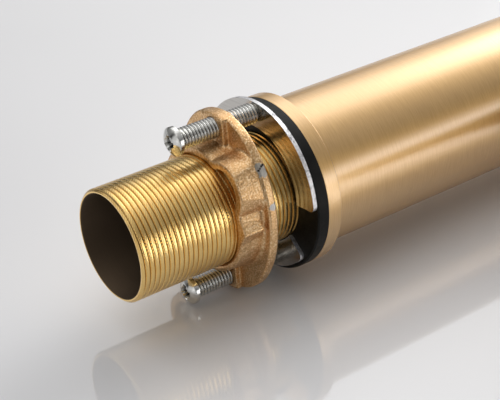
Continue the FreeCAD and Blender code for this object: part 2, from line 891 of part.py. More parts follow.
def nipple_band(y, width, outer):
    """A level ring round the nipple, as deep as its seal grooves."""
    start = vector(0, y - width / 2, spout_height)
    end = vector(0, y + width / 2, spout_height)
    return rod(outer, start, end).cut(rod(nipple_radius - nipple_seal_height, start, end))


def nipple_seals():
    """Two square-cut seals in the nipple's grooves."""
    return Part.makeCompound([nipple_band(y, nipple_seal_width, nipple_radius) for y in seal_centres()])


# Aerator

def aerator_housing():
    """The threaded cup that screws into the spout, flush with its outside."""
    cup = cylinder(spout_radius, aerator_bottom, spout_end_z, 0, -spout_reach)
    rim = circles_at(cup, aerator_bottom, spout_radius)
    cup = cup.makeChamfer(ring_edge_break, rim)
    cup = cup.fuse(cylinder(aerator_thread_radius, spout_end_z, aerator_top, 0, -spout_reach))
    ledge_top = aerator_bottom + aerator_ledge
    bore = cylinder(aerator_bore_radius, ledge_top, aerator_top + overrun, 0, -spout_reach)
    outlet_radius = aerator_bore_radius - aerator_ledge
    outlet = cylinder(outlet_radius, aerator_bottom - overrun, aerator_top, 0, -spout_reach)
    return cup.cut(bore).cut(outlet)


def aerator_insert():
    """The flow straightener, with a ring of slots through it."""
    low = aerator_bottom + aerator_ledge
    insert = cylinder(aerator_bore_radius - slip_gap, low, low + aerator_insert_height, 0, -spout_reach)
    step = 360 / aerator_slot_count
    for place in range(aerator_slot_count):
        slot = box(
            aerator_slot_start,
            aerator_slot_start + aerator_slot_length,
            -aerator_slot_half_width,
            aerator_slot_half_width,
            low - overrun,
            gasket_bottom + overrun,
        )
        slot.rotate(vector(0, 0, 0), Z, place * step)
        slot.translate(vector(0, -spout_reach, 0))
        insert = insert.cut(slot)
    return insert


def aerator_gasket():
    """The flat ring between the housing's top and the spout."""
    return tube(
        aerator_bore_radius - slip_gap,
        aerator_bore_radius - slip_gap - 2 * aerator_ledge,
        gasket_bottom,
        gasket_top,
        0,
        -spout_reach,
    )


def build():
    os.makedirs("parts", exist_ok=True)
    save("shank", shank())
    save("base_ring", base_ring())
    save("base_seal", base_seal())
    save("rubber_washer", rubber_washer())
    save("split_washer", split_washer())
    save("mounting_nut", mounting_nut())
    save("jack_screw_left", jack_screw(-1))
    save("jack_screw_right", jack_screw(1))
    save("body_shell", body_shell())
    save("valve_block", valve_block())
    save("cartridge_base", cartridge_base())
    save("port_seals", seal_rings(cartridge_seat_height))
    save("disc_seals", seal_rings(disc_bottom - seal_ring_height))
    save("cartridge_housing", cartridge_housing())
    save("fixed_disc", fixed_disc())
    save("moving_disc", moving_disc())
    save("disc_carrier", disc_carrier())
    save("cartridge_sleeve", cartridge_sleeve())
    save("pivot_pin", pivot_pin())
    save("spindle", spindle())
    save("cartridge_retainer", cartridge_retainer())
    save("dome_cover", dome_cover())
    save("handle_cap", handle_cap())
    save("lever", lever())
    save("handle_screw", handle_screw())
    save("index_plug", index_plug())
    save("spout", spout())
    save("spout_nipple", spout_nipple())
    save("nipple_seals", nipple_seals())
    save("spout_screw", spout_screw())
    save("aerator_housing", aerator_housing())
    save("aerator_insert", aerator_insert())
    save("aerator_gasket", aerator_gasket())


build()
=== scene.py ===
"""The looks of the basin mixer tap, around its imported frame.

Metres, in the frame's own axes: +Z up along the tap, z = 0 at the deck. The tap lies on its side
on the floor, as it does in the photograph, so the floor is a plane beside it that faces about -X.
"""

import json
import math

import bmesh
import bpy
from mathutils import Matrix, Vector


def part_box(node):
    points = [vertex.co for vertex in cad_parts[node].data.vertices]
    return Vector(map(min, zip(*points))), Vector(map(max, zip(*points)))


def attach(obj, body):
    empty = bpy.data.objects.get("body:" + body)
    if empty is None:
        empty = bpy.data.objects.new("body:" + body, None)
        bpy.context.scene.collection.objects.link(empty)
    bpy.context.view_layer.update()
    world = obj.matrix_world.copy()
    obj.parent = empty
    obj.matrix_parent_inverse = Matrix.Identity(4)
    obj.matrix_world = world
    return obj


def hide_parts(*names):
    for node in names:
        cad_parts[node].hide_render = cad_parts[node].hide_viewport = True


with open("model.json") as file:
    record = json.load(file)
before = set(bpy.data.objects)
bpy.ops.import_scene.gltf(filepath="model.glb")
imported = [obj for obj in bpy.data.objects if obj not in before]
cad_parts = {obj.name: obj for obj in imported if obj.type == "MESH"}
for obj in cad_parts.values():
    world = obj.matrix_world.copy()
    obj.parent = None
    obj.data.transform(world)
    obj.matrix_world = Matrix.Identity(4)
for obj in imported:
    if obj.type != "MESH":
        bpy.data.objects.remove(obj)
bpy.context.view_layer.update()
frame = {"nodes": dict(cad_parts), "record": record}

MM = 0.001
NODES = frame["nodes"]

# The camera, from the circles of ring, nut and shank in the photograph
CAMERA_PLACE = Vector((-171.5, -284.11, -203.15)) * MM
CAMERA_LOOK = Vector((0.45159, 0.73591, 0.50449))
CAMERA_RIGHT = Vector((0.07505, -0.59475, 0.80040))
CAMERA_LENS = 99.0
CAMERA_SENSOR = 36.0
CAMERA_CLIP_START = 0.01

# The floor nearly touches the nut's lower ear. Its normal points up, away from it
FLOOR_ANGLE = math.radians(-172.8)
FLOOR_DISTANCE = 27.2 * MM
FLOOR_SIZE = 1.4
FLOOR_NORMAL = Vector((math.cos(FLOOR_ANGLE), math.sin(FLOOR_ANGLE), 0.0))
FLOOR_SIDE = Vector((-FLOOR_NORMAL.y, FLOOR_NORMAL.x, 0.0))
ALONG_TAP = Vector((0.0, 0.0, 1.0))

# Headings over the floor are given as shares of: up from it, across the tap, along the tap
OVERHEAD = (1.0, 0.0, 0.0)
TOWARDS_HANDLE = (0.0, 0.0, 1.0)

# The room is brightest overhead, and dimmer past the shank's end. Each rise gives how near to its
# heading the brightness starts and stops growing
ROOM_COLOUR = (1.0, 0.99, 0.98)
ROOM_BRIGHTNESS = 0.55
ROOM_RISE = (0.2, 0.9)
ROOM_END_SHARE = 0.6
ROOM_END_RISE = (-0.7, 0.1)

# Soft lights round the tap: heading, brightness, and the half-angles in degrees inside which each
# is full and beyond which it is gone
SOFT_LIGHTS = (
    ((0.66, -0.44, 0.61), 0.94, 8, 25),
    ((0.41, -0.24, 0.88), 4.40, 8, 26),
    ((0.87, -0.24, 0.43), 0.45, 6, 22),
    ((0.41, -0.65, 0.65), 0.84, 8, 26),
    ((0.05, 0.79, 0.61), 3.70, 4, 20),
    ((0.32, -0.78, -0.53), 0.25, 8, 32),
    ((0.07, 0.78, -0.62), 0.36, 8, 26),
    ((0.69, 0.00, -0.72), 0.75, 8, 26),
    ((0.69, -0.68, -0.22), 0.95, 8, 26),
    ((0.69, -0.42, -0.58), 0.35, 8, 26),
    ((0.90, -0.22, -0.38), 0.21, 8, 26),
    ((1.00, 0.00, 0.07), 0.53, 8, 26),
    ((0.07, -0.43, 0.90), 0.84, 8, 26),
    ((0.07, 0.00, 1.00), 0.52, 8, 26),
    ((0.07, 0.43, -0.90), 0.40, 8, 26),
    ((0.07, 0.00, -1.00), 0.65, 8, 26),
)

# The backdrop past the floor. Mirrors see it too, below a horizon that is a little soft
BACKDROP_COLOUR = (0.80, 0.80, 0.81)
HORIZON = (-0.03, -0.01)

# Threads: pitch, depth, and the shares of the pitch that crest and root take
SHANK_THREAD = (1.5 * MM, 0.38 * MM, 0.66, 0.05)
SCREW_THREAD = (1.0 * MM, 0.55 * MM, 0.22, 0.14)

# A thread's profile, in shares of its depth: how far the crest has fallen at its edges, and where
# the root's middle lies. The flank has a row at each of its places
CREST_FALL = 0.10
CREST_STEPS = 4
ROOT_BOTTOM = 1.02
FLANK_PLACES = (0.12, 0.5, 0.88)
THREAD_SHARP = 50.0

# The shank
SHANK_RADIUS = 16.0 * MM
SHANK_BORE_RADIUS = 14.7 * MM
SHANK_TIP_CHAMFER = 0.7 * MM
SHANK_BORE_CHAMFER = 0.25 * MM
SHANK_COLLAR_OVERLAP = 0.9 * MM
SHANK_THREAD_STEPS = 320
SHANK_BORE_STEPS = 256

# Brass is dark with painted shade inside the first of these radii, in the bore, and bright outside
# the second
BORE_SHADE_RADII = (14.9 * MM, 15.0 * MM)

# Chatter marks left by the thread's cutter: how many in a turn, and how they lean along the tap
CHATTER_MARKS = 106
CHATTER_LEAN = 13900.0

# The jack screws
SCREW_RADIUS = 3.0 * MM
SCREW_STEPS = 96
SCREW_POINT_CHAMFER = 0.75 * MM
THREAD_SUNK_IN_HEAD = 0.2 * MM
HEAD_RADIUS = 4.1 * MM
HEAD_HEIGHT = 2.9 * MM
HEAD_SHOULDER = 0.35 * MM
HEAD_SLOPE = math.radians(41.0)
HEAD_DOME_STEPS = 12
HEAD_SHOULDER_STEPS = 6
HEAD_SEAT_CHAMFER = 0.15 * MM
HEAD_EDGE_BREAK = 0.12 * MM
HEAD_SHARP = 40.0
POLE_RADIUS = 0.0001 * MM

# The cross recess, a cross with a cone in its middle, and where its walls count as deep and get
# painted shade
RECESS_REACH = 2.8 * MM
RECESS_WIDTH = 1.8 * MM
RECESS_CONE = 2.1 * MM
RECESS_DEPTH = 2.1 * MM
RECESS_TAPER = 0.42
RECESS_ABOVE = 0.4 * MM
RECESS_CONE_STEPS = 24
RECESS_GROOVE = 2.0
RECESS_GROOVE_START = 0.25 * MM
RECESS_GROOVE_STOP = 0.05 * MM

# The casting's skin
CASTING_VOXEL = 0.22 * MM
CASTING_ROUNDS = 3
SMOOTHING = 0.5

# Where the casting's lobes melt into its hub: their angles, how far each way, the highest level,
# and the stretches over which the melting fades
LOBE_MELT_ANGLES = (-150.0, 30.0)
LOBE_MELT_REACH = 22.0
LOBE_MELT_ANGLE_FADE = 8.0
LOBE_MELT_TOP = -17.3 * MM
LOBE_MELT_TOP_FADE = 0.8 * MM
LOBE_MELT_ROUNDS = 70

# Bare and knocked places on the nut's rim: angle, radius, height, reach and colour
SCUFFS = (
    (-130.6, 23.2 * MM, -15.9 * MM, 1.7 * MM, (0.50, 0.47, 0.43)),
    (-133.6, 23.4 * MM, -16.4 * MM, 1.0 * MM, (0.46, 0.42, 0.36)),
    (-131.2, 23.1 * MM, -16.9 * MM, 0.38 * MM, (0.04, 0.035, 0.03)),
    (-132.1, 23.2 * MM, -16.3 * MM, 0.38 * MM, (0.04, 0.035, 0.03)),
    (-133.0, 23.3 * MM, -15.7 * MM, 0.38 * MM, (0.04, 0.035, 0.03)),
    (-133.8, 23.4 * MM, -15.1 * MM, 0.38 * MM, (0.04, 0.035, 0.03)),
    (-104.4, 21.6 * MM, -15.5 * MM, 1.1 * MM, (0.44, 0.42, 0.40)),
)

# A scuff's ragged edge wanders between these shares of its reach
SCUFF_EDGE = (0.75, 1.3)

# Moulded plastics and ceramic: dark and light tone, and roughness
MOULDED = {
    "cartridge_plastic": ((0.70, 0.70, 0.67), (0.80, 0.80, 0.77), 0.45),
    "carrier_plastic": ((0.09, 0.14, 0.25), (0.12, 0.18, 0.31), 0.42),
    "ceramic": ((0.78, 0.78, 0.74), (0.86, 0.86, 0.83), 0.12),
    "plug_plastic": ((0.50, 0.50, 0.48), (0.60, 0.60, 0.58), 0.25),
    "insert_plastic": ((0.66, 0.66, 0.63), (0.76, 0.76, 0.73), 0.40),
}

# These gold pieces lie along Y, and their brushing runs round that axis
GOLD_ALONG_Y = {"spout", "lever"}

# Meshes: points nearer than this are one, and faces lower than this are left out
WELD_DISTANCE = 0.0001 * MM
POLE_WELD_DISTANCE = 0.0002 * MM
FLAT_FACE = 1e-9


# Shader helpers

SOCKETS = {
    "metallic": "Metallic",
    "roughness": "Roughness",
    "specular": "Specular IOR Level",
    "anisotropic": "Anisotropic",
    "coat": "Coat Weight",
    "coat_roughness": "Coat Roughness",
    "coat_ior": "Coat IOR",
}

# The Mix node's sockets for colours: the two inputs and the result
MIX_INPUTS = (6, 7)
MIX_RESULT = 2


class Shader:
    """A node material being built, around one Principled shader."""

    def __init__(self, name):
        self.material = bpy.data.materials.new(name)
        self.material.use_nodes = True
        self.tree = self.material.node_tree
        self.tree.nodes.clear()
        self.output = self.tree.nodes.new("ShaderNodeOutputMaterial")
        self.surface = self.tree.nodes.new("ShaderNodeBsdfPrincipled")
        self.join(self.surface.outputs["BSDF"], self.output.inputs["Surface"])
        self.place = self.tree.nodes.new("ShaderNodeTexCoord").outputs["Object"]

    def join(self, start, end):
        """Links an output socket to an input socket."""
        self.tree.links.new(start, end)

    def set(self, **values):
        """Sets the Principled shader's inputs, under the short names in SOCKETS."""
        for name, value in values.items():
            self.surface.inputs[SOCKETS[name]].default_value = value

    def math(self, operation, first, second=None):
        """The result of an operation on one or two values, each given as a number or a socket."""
        node = self.tree.nodes.new("ShaderNodeMath")
        node.operation = operation
        for socket, value in zip(node.inputs, (first, second)):
            if value is None:
                continue
            if isinstance(value, (int, float)):
                socket.default_value = value
            else:
                self.join(value, socket)
        return node.outputs["Value"]

    def scaled(self, x, y, z):
        """The object's own coordinates, stretched along each axis."""
        node = self.tree.nodes.new("ShaderNodeMapping")
        node.inputs["Scale"].default_value = (x, y, z)
        self.join(self.place, node.inputs["Vector"])
        return node.outputs["Vector"]

    def split(self, vector=None):
        """The X, Y and Z of a vector, or else of the object's own coordinates."""
        node = self.tree.nodes.new("ShaderNodeSeparateXYZ")
        self.join(vector or self.place, node.inputs["Vector"])
        return node.outputs

    def noise(self, scale, detail=2.0, roughness=0.5, vector=None):
        """Noise on a vector, or else on the object's own coordinates."""
        node = self.tree.nodes.new("ShaderNodeTexNoise")
        node.inputs["Scale"].default_value = scale
        node.inputs["Detail"].default_value = detail
        node.inputs["Roughness"].default_value = roughness
        self.join(vector or self.place, node.inputs["Vector"])
        return node.outputs["Fac"]

    def spread(self, value, low_in, high_in, low_out, high_out):
        """A value mapped from one range to another, and held inside that."""
        node = self.tree.nodes.new("ShaderNodeMapRange")
        self.join(value, node.inputs["Value"])
        node.inputs["From Min"].default_value = low_in
        node.inputs["From Max"].default_value = high_in
        node.inputs["To Min"].default_value = low_out
        node.inputs["To Max"].default_value = high_out
        return node.outputs["Result"]

    def share(self, value, low, high):
        """How far a value has come from low to high, from 0 to 1."""
        return self.spread(value, low, high, 0.0, 1.0)

    def blend(self, factor, first, second):
        """A mix of two colours, each given as a tuple or a socket."""
        node = self.tree.nodes.new("ShaderNodeMix")
        node.data_type = "RGBA"
        self.join(factor, node.inputs["Factor"])
        for index, value in zip(MIX_INPUTS, (first, second)):
            if isinstance(value, tuple):
                node.inputs[index].default_value = (*value, 1.0)
            else:
                self.join(value, node.inputs[index])
        return node.outputs[MIX_RESULT]

    def bump(self, height, distance, strength=1.0, normal=None):
        """A normal bent by a height, on top of another one if that is given."""
        node = self.tree.nodes.new("ShaderNodeBump")
        node.inputs["Distance"].default_value = distance
        node.inputs["Strength"].default_value = strength
        self.join(height, node.inputs["Height"])
        if normal is not None:
            self.join(normal, node.inputs["Normal"])
        return node.outputs["Normal"]

    def colour(self, socket):
        """Makes a socket the surface's colour."""
        self.join(socket, self.surface.inputs["Base Color"])

    def rough(self, socket):
        """Makes a socket the surface's roughness."""
        self.join(socket, self.surface.inputs["Roughness"])

    def normal(self, socket):
        """Makes a socket the surface's normal."""
        self.join(socket, self.surface.inputs["Normal"])

    def attribute(self, name):
        """A value stored on the mesh's points."""
        node = self.tree.nodes.new("ShaderNodeAttribute")
        node.attribute_name = name
        return node.outputs["Fac"]

    def radius(self):
        """The distance from the tap's axis."""
        place = self.split()
        x_squared = self.math("MULTIPLY", place["X"], place["X"])
        y_squared = self.math("MULTIPLY", place["Y"], place["Y"])
        return self.math("SQRT", self.math("ADD", x_squared, y_squared))

    def chatter(self, marks, lean):
        """A wave round the tap's axis, from -1 to 1, that leans along it."""
        place = self.split()
        angle = self.math("ARCTAN2", place["Y"], place["X"])
        phase = self.math("MULTIPLY", angle, float(marks))
        phase = self.math("ADD", phase, self.math("MULTIPLY", place["Z"], lean))
        return self.math("SINE", phase)

    def near(self, place, reach):
        """One within reach of a place, and nothing beyond a ragged edge there."""
        node = self.tree.nodes.new("ShaderNodeVectorMath")
        node.operation = "DISTANCE"
        self.join(self.place, node.inputs[0])
        node.inputs[1].default_value = place
        low, high = SCUFF_EDGE
        edge = self.spread(self.noise(900.0, 3.0), 0.3, 0.7, low * reach, high * reach)
        return self.math("LESS_THAN", node.outputs["Value"], edge)

    def lathe_coordinates(self, across, along):
        """Coordinates that stay the same round the tap's axis, so that noise on them makes rings."""
        node = self.tree.nodes.new("ShaderNodeCombineXYZ")
        self.join(self.math("MULTIPLY", self.radius(), across), node.inputs["X"])
        self.join(self.math("MULTIPLY", self.split()["Z"], along), node.inputs["Y"])
        return node.outputs["Vector"]


# Materials

def satin_gold(name, grain_axis):
    """Golden coating over fine brushing that runs round one axis."""
    deep, pale, cloudy = (0.58, 0.322, 0.072), (0.68, 0.396, 0.104), (0.55, 0.307, 0.070)
    fine, coarse = 4200.0, 200.0
    shader = Shader(name)
    shader.set(metallic=1.0, roughness=0.38, anisotropic=0.55)
    shader.set(coat=1.0, coat_roughness=0.25, coat_ior=2.35)
    tangent = shader.tree.nodes.new("ShaderNodeTangent")
    tangent.direction_type = "RADIAL"
    tangent.axis = grain_axis
    shader.join(tangent.outputs["Tangent"], shader.surface.inputs["Tangent"])
    stretch = [fine if axis == grain_axis else coarse for axis in "XYZ"]
    lines = shader.noise(1.0, 3.0, 0.6, shader.scaled(*stretch))
    cloud = shader.noise(45.0, 2.0)
    tint = shader.blend(shader.share(lines, 0.35, 0.65), deep, pale)
    shader.colour(shader.blend(shader.spread(cloud, 0.3, 0.7, 0.0, 0.35), tint, cloudy))
    shader.rough(shader.spread(lines, 0.3, 0.7, 0.33, 0.42))
    shader.normal(shader.bump(lines, 0.006 * MM))
    return shader.material


def bright_brass():
    """Freshly cut brass, with chatter marks round the thread, and painted shade in its thread's
    roots and in its bore.
    """
    pale, stained = (0.94, 0.665, 0.27), (0.84, 0.545, 0.19)
    root_shade, bore = (0.22, 0.115, 0.04), (0.105, 0.075, 0.050)
    rings = 9000.0
    shader = Shader("bright_brass")
    shader.set(metallic=1.0, roughness=0.2)
    groove = shader.attribute("groove")
    marks = shader.noise(1.0, 3.0, 0.6, shader.lathe_coordinates(rings, rings))
    stain = shader.noise(160.0, 4.0, 0.6)
    tint = shader.blend(shader.share(stain, 0.35, 0.7), pale, stained)
    # Painted shade: the thread's roots are darkened where the flanks shade them.
    tint = shader.blend(shader.share(groove, 0.6, 1.0), tint, root_shade)
    # The bore's near-black colour is painted shade. Its roughness is raised there too.
    inside = shader.spread(shader.radius(), *BORE_SHADE_RADII, 1.0, 0.0)
    shader.colour(shader.blend(inside, tint, bore))
    shine = shader.spread(marks, 0.3, 0.7, 0.20, 0.30)
    dull = shader.spread(inside, 0.0, 1.0, 0.0, 0.35)
    shader.rough(shader.math("ADD", shine, dull))
    patchy = shader.spread(shader.noise(300.0, 1.0), 0.35, 0.65, 0.3, 1.0)
    chatter = shader.math("MULTIPLY", shader.chatter(CHATTER_MARKS, CHATTER_LEAN), patchy)
    turned = shader.bump(marks, 0.003 * MM)
    shader.normal(shader.bump(chatter, 0.011 * MM, 1.0, turned))
    return shader.material


def cast_bronze():
    """Sand-cast bronze: brown in its grain's hollows, pale on its tops as painted glints, and bare
    at the scuffs.
    """
    brown, golden = (0.62, 0.36, 0.16), (0.82, 0.52, 0.25)
    hollow, top = (0.34, 0.18, 0.075), (1.0, 0.80, 0.52)
    shader = Shader("cast_bronze")
    shader.set(metallic=1.0, roughness=0.5)
    grain = shader.noise(2100.0, 2.0, 0.6)
    patch = shader.noise(210.0, 5.0, 0.6)
    tint = shader.blend(shader.share(patch, 0.35, 0.68), brown, golden)
    tint = shader.blend(shader.spread(grain, 0.34, 0.50, 0.55, 0.0), tint, hollow)
    # Painted glints: the grain's tops are paled to light gold where the light would catch them.
    tint = shader.blend(shader.spread(grain, 0.52, 0.66, 0.0, 0.85), tint, top)
    for angle, radius, z, reach, scuff in SCUFFS:
        turn = math.radians(angle)
        place = (radius * math.cos(turn), radius * math.sin(turn), z)
        tint = shader.blend(shader.near(place, reach), tint, scuff)
    shader.colour(tint)
    shader.rough(shader.spread(grain, 0.3, 0.7, 0.28, 0.46))
    sand = shader.bump(grain, 0.12 * MM)
    shader.normal(shader.bump(patch, 0.15 * MM, 0.3, sand))
    return shader.material


def bright_zinc():
    """Bright zinc plate with faint smears, and painted shade in its threads' roots and, darker, in
    its cross recess.
    """
    clean, smeared = (0.80, 0.80, 0.78), (0.64, 0.64, 0.61)
    root, recess = (0.20, 0.20, 0.19), (0.085, 0.08, 0.07)
    shader = Shader("bright_zinc")
    shader.set(metallic=1.0, roughness=0.14)
    groove = shader.attribute("groove")
    smear = shader.noise(380.0, 4.0, 0.6)
    plate = shader.blend(shader.share(smear, 0.3, 0.7), clean, smeared)
    # Painted shade darkens the thread's roots.
    plate = shader.blend(shader.share(groove, 0.6, 1.0), plate, root)
    # Painted shade, darker still, inside the cross recess.
    shader.colour(shader.blend(shader.share(groove, 1.2, RECESS_GROOVE), plate, recess))
    worn = shader.spread(groove, 0.0, 0.3, 0.0, 0.12)
    shader.rough(shader.math("ADD", shader.spread(smear, 0.3, 0.7, 0.10, 0.20), worn))
    shader.normal(shader.bump(shader.noise(1800.0, 2.0), 0.01 * MM))
    return shader.material


def washer_steel():
    """Rolled sheet: a near mirror on its faces, and torn, nicked and bright on its sheared edge."""
    face_dark, face_light = (0.50, 0.48, 0.45), (0.62, 0.60, 0.57)
    cut_dark, cut_light = (0.62, 0.62, 0.64), (0.90, 0.90, 0.92)
    nick = (0.16, 0.16, 0.17)
    shader = Shader("washer_steel")
    shader.set(metallic=1.0, roughness=0.12)
    normal = shader.tree.nodes.new("ShaderNodeTexCoord").outputs["Normal"]
    upright = shader.math("ABSOLUTE", shader.split(normal)["Z"])
    edge = shader.spread(upright, 0.3, 0.8, 1.0, 0.0)
    rolled = shader.noise(1.0, 3.0, 0.5, shader.scaled(2400.0, 90.0, 90.0))
    torn = shader.noise(1500.0, 4.0, 0.7)
    nicks = shader.spread(shader.noise(420.0, 5.0, 0.75), 0.53, 0.60, 0.0, 0.8)
    face = shader.blend(shader.share(rolled, 0.3, 0.7), face_dark, face_light)
    cut = shader.blend(shader.share(torn, 0.35, 0.65), cut_dark, cut_light)
    steel = shader.blend(edge, face, cut)
    shader.colour(shader.blend(shader.math("MULTIPLY", edge, nicks), steel, nick))
    smooth = shader.spread(rolled, 0.3, 0.7, 0.10, 0.18)
    shader.rough(shader.math("ADD", smooth, shader.spread(edge, 0.0, 1.0, 0.0, 0.26)))
    shader.normal(shader.bump(shader.math("MULTIPLY", torn, edge), 0.12 * MM))
    return shader.material


def ground_steel():
    """Steel with fine grinding lines."""
    shader = Shader("ground_steel")
    shader.set(metallic=1.0, roughness=0.3)
    lines = shader.noise(1.0, 3.0, 0.6, shader.scaled(4000.0, 300.0, 300.0))
    shader.colour(shader.blend(lines, (0.42, 0.42, 0.43), (0.60, 0.60, 0.61)))
    shader.rough(shader.spread(lines, 0.3, 0.7, 0.22, 0.40))
    shader.normal(shader.bump(lines, 0.01 * MM))
    return shader.material


def black_rubber():
    """Moulded rubber with a satin skin and a little dust."""
    clean, dusty = (0.003, 0.003, 0.002), (0.012, 0.011, 0.009)
    shader = Shader("black_rubber")
    shader.set(metallic=0.0, roughness=0.5, specular=0.18)
    skin = shader.noise(1400.0, 3.0, 0.6)
    dust = shader.noise(260.0, 4.0, 0.6)
    shader.colour(shader.blend(shader.share(dust, 0.45, 0.8), clean, dusty))
    shader.rough(shader.spread(skin, 0.3, 0.7, 0.38, 0.56))
    shader.normal(shader.bump(skin, 0.03 * MM))
    return shader.material


def moulded(name, dark, light, roughness):
    """Moulded plastic or ceramic in one tone, with a fine skin."""
    smoother, rougher = 0.05, 0.08
    shader = Shader(name)
    shader.set(metallic=0.0, roughness=roughness)
    skin = shader.noise(1100.0, 3.0, 0.6)
    flow = shader.noise(120.0, 2.0)
    shader.colour(shader.blend(shader.share(flow, 0.3, 0.7), dark, light))
    shader.rough(shader.spread(skin, 0.3, 0.7, roughness - smoother, roughness + rougher))
    shader.normal(shader.bump(skin, 0.012 * MM))
    return shader.material


def floor_material():
    """White acrylic sheet, polished. From behind it is clear, so that it hides nothing."""
    dark, light = (0.76, 0.765, 0.785), (0.79, 0.795, 0.815)
    shader = Shader("floor")
    shader.set(metallic=0.0, roughness=0.05, specular=1.0)
    cloud = shader.noise(6.0, 2.0)
    shader.colour(shader.blend(shader.share(cloud, 0.3, 0.7), dark, light))
    clear = shader.tree.nodes.new("ShaderNodeBsdfTransparent")
    geometry = shader.tree.nodes.new("ShaderNodeNewGeometry")
    choose = shader.tree.nodes.new("ShaderNodeMixShader")
    shader.join(geometry.outputs["Backfacing"], choose.inputs["Fac"])
    shader.join(shader.surface.outputs["BSDF"], choose.inputs[1])
    shader.join(clear.outputs["BSDF"], choose.inputs[2])
    shader.join(choose.outputs["Shader"], shader.output.inputs["Surface"])
    return shader.material


MATERIALS = {
    "brushed_gold": satin_gold("brushed_gold", "Z"),
    "brushed_gold_lengthwise": satin_gold("brushed_gold_lengthwise", "Y"),
    "machined_brass": bright_brass(),
    "cast_bronze": cast_bronze(),
    "screw_zinc": bright_zinc(),
    "washer_steel": washer_steel(),
    "pin_steel": ground_steel(),
    "black_rubber": black_rubber(),
}
for name, (dark, light, roughness) in MOULDED.items():
    MATERIALS[name] = moulded(name, dark, light, roughness)


# Mesh helpers

def new_piece(name, mesh, body, slot, replaced):
    """A mesh as a piece of the tap: on its body, with its material, in place of CAD nodes."""
    piece = bpy.data.objects.new(name, mesh)
    bpy.context.scene.collection.objects.link(piece)
    mesh.materials.clear()
    mesh.materials.append(MATERIALS[slot])
    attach(piece, body)
    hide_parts(*replaced)
    return piece


def smooth_faces(mesh, sharp_angle):
    """Shades a mesh smooth, apart from edges sharper than an angle in degrees."""
    mesh.shade_smooth()
    mesh.set_sharp_from_angle(angle=math.radians(sharp_angle))


def finished(shape, name, sharp_angle):
    """A mesh from a bmesh, smooth apart from its sharp edges."""
    bmesh.ops.recalc_face_normals(shape, faces=shape.faces)
    mesh = bpy.data.meshes.new(name)
    shape.to_mesh(mesh)
    shape.free()
    smooth_faces(mesh, sharp_angle)
    return mesh


def apply_modifiers(piece):
    """Bakes a piece's modifiers into its mesh."""
    bpy.context.view_layer.update()
    graph = bpy.context.evaluated_depsgraph_get()
    mesh = bpy.data.meshes.new_from_object(piece.evaluated_get(graph))
    piece.modifiers.clear()
    piece.data = mesh


def carve(piece, cutter_shape):
    """Cuts a closed bmesh out of a piece's mesh."""
    bmesh.ops.recalc_face_normals(cutter_shape, faces=cutter_shape.faces)
    cutter_mesh = bpy.data.meshes.new("cutter")
    cutter_shape.to_mesh(cutter_mesh)
    cutter_shape.free()
    cutter = bpy.data.objects.new("cutter", cutter_mesh)
    bpy.context.scene.collection.objects.link(cutter)
    modifier = piece.modifiers.new("cut", "BOOLEAN")
    modifier.object = cutter
    modifier.operation = "DIFFERENCE"
    modifier.solver = "EXACT"
    modifier.use_self = True
    apply_modifiers(piece)
    bpy.data.objects.remove(cutter)


def weld(shape, distance=WELD_DISTANCE):
    """Joins points that meet, and drops those that no face uses."""
    bmesh.ops.remove_doubles(shape, verts=shape.verts, dist=distance)
    loose = [point for point in shape.verts if not point.link_faces]
    bmesh.ops.delete(shape, geom=loose, context="VERTS")


def close_ends(shape):
    """Fills the open edges of a mesh."""
    open_edges = [edge for edge in shape.edges if edge.is_boundary]
    bmesh.ops.holes_fill(shape, edges=open_edges)


def join_rings(shape, first, second):
    """A band of faces between two rings of the same count."""
    count = len(first)
    for step in range(count):
        after = (step + 1) % count
        shape.faces.new((first[step], first[after], second[after], second[step]))


def lathe(shape, outline, steps, centre=(0.0, 0.0)):
    """Turns an outline of (radius, z) points about an upright axis. Returns the rings of points."""
    rings = []
    for radius, z in outline:
        ring = []
        for step in range(steps):
            turn = 2 * math.pi * step / steps
            x = centre[0] + radius * math.cos(turn)
            y = centre[1] + radius * math.sin(turn)
            ring.append(shape.verts.new((x, y, z)))
        rings.append(ring)
    for low, high in zip(rings, rings[1:]):
        join_rings(shape, low, high)
    return rings


# Threads

def thread_rows(crest, root):
    """One pitch of a thread as (share of the pitch, depth share) rows, with a barrelled crest."""
    flank = (1 - crest - root) / 2
    rows = []
    for step in range(CREST_STEPS + 1):
        place = step / CREST_STEPS
        rows.append((crest * place, CREST_FALL * (2 * place - 1) ** 2))
    for start, first, last in ((crest, CREST_FALL, 1.0), (1 - flank, 1.0, CREST_FALL)):
        for place in FLANK_PLACES:
            rows.append((start + flank * place, first + (last - first) * place))
        if first < last:
            rows.append((start + flank + root / 2, ROOT_BOTTOM))
    return rows


def thread_columns(shape, radius, thread, low, high, steps, limit, centre):
    """The points of a thread's wall, as one column for each step round it."""
    pitch, depth, crest, root = thread
    groove = shape.verts.layers.float.new("groove")
    profile = thread_rows(crest, root)
    pitches = int(math.ceil((high - low) / pitch)) + 1
    columns = []
    for step in range(steps):
        turn = 2 * math.pi * step / steps
        column = []
        for lap in range(-1, pitches):
            for share, deep in profile:
                z = low + pitch * (lap + share + step / steps)
                z = min(high, max(low, z))
                reach = min(radius - depth * deep, limit(z))
                x = centre[0] + reach * math.cos(turn)
                y = centre[1] + reach * math.sin(turn)
                point = shape.verts.new((x, y, z))
                point[groove] = deep
                column.append(point)
        columns.append(column)
    return columns, len(profile)


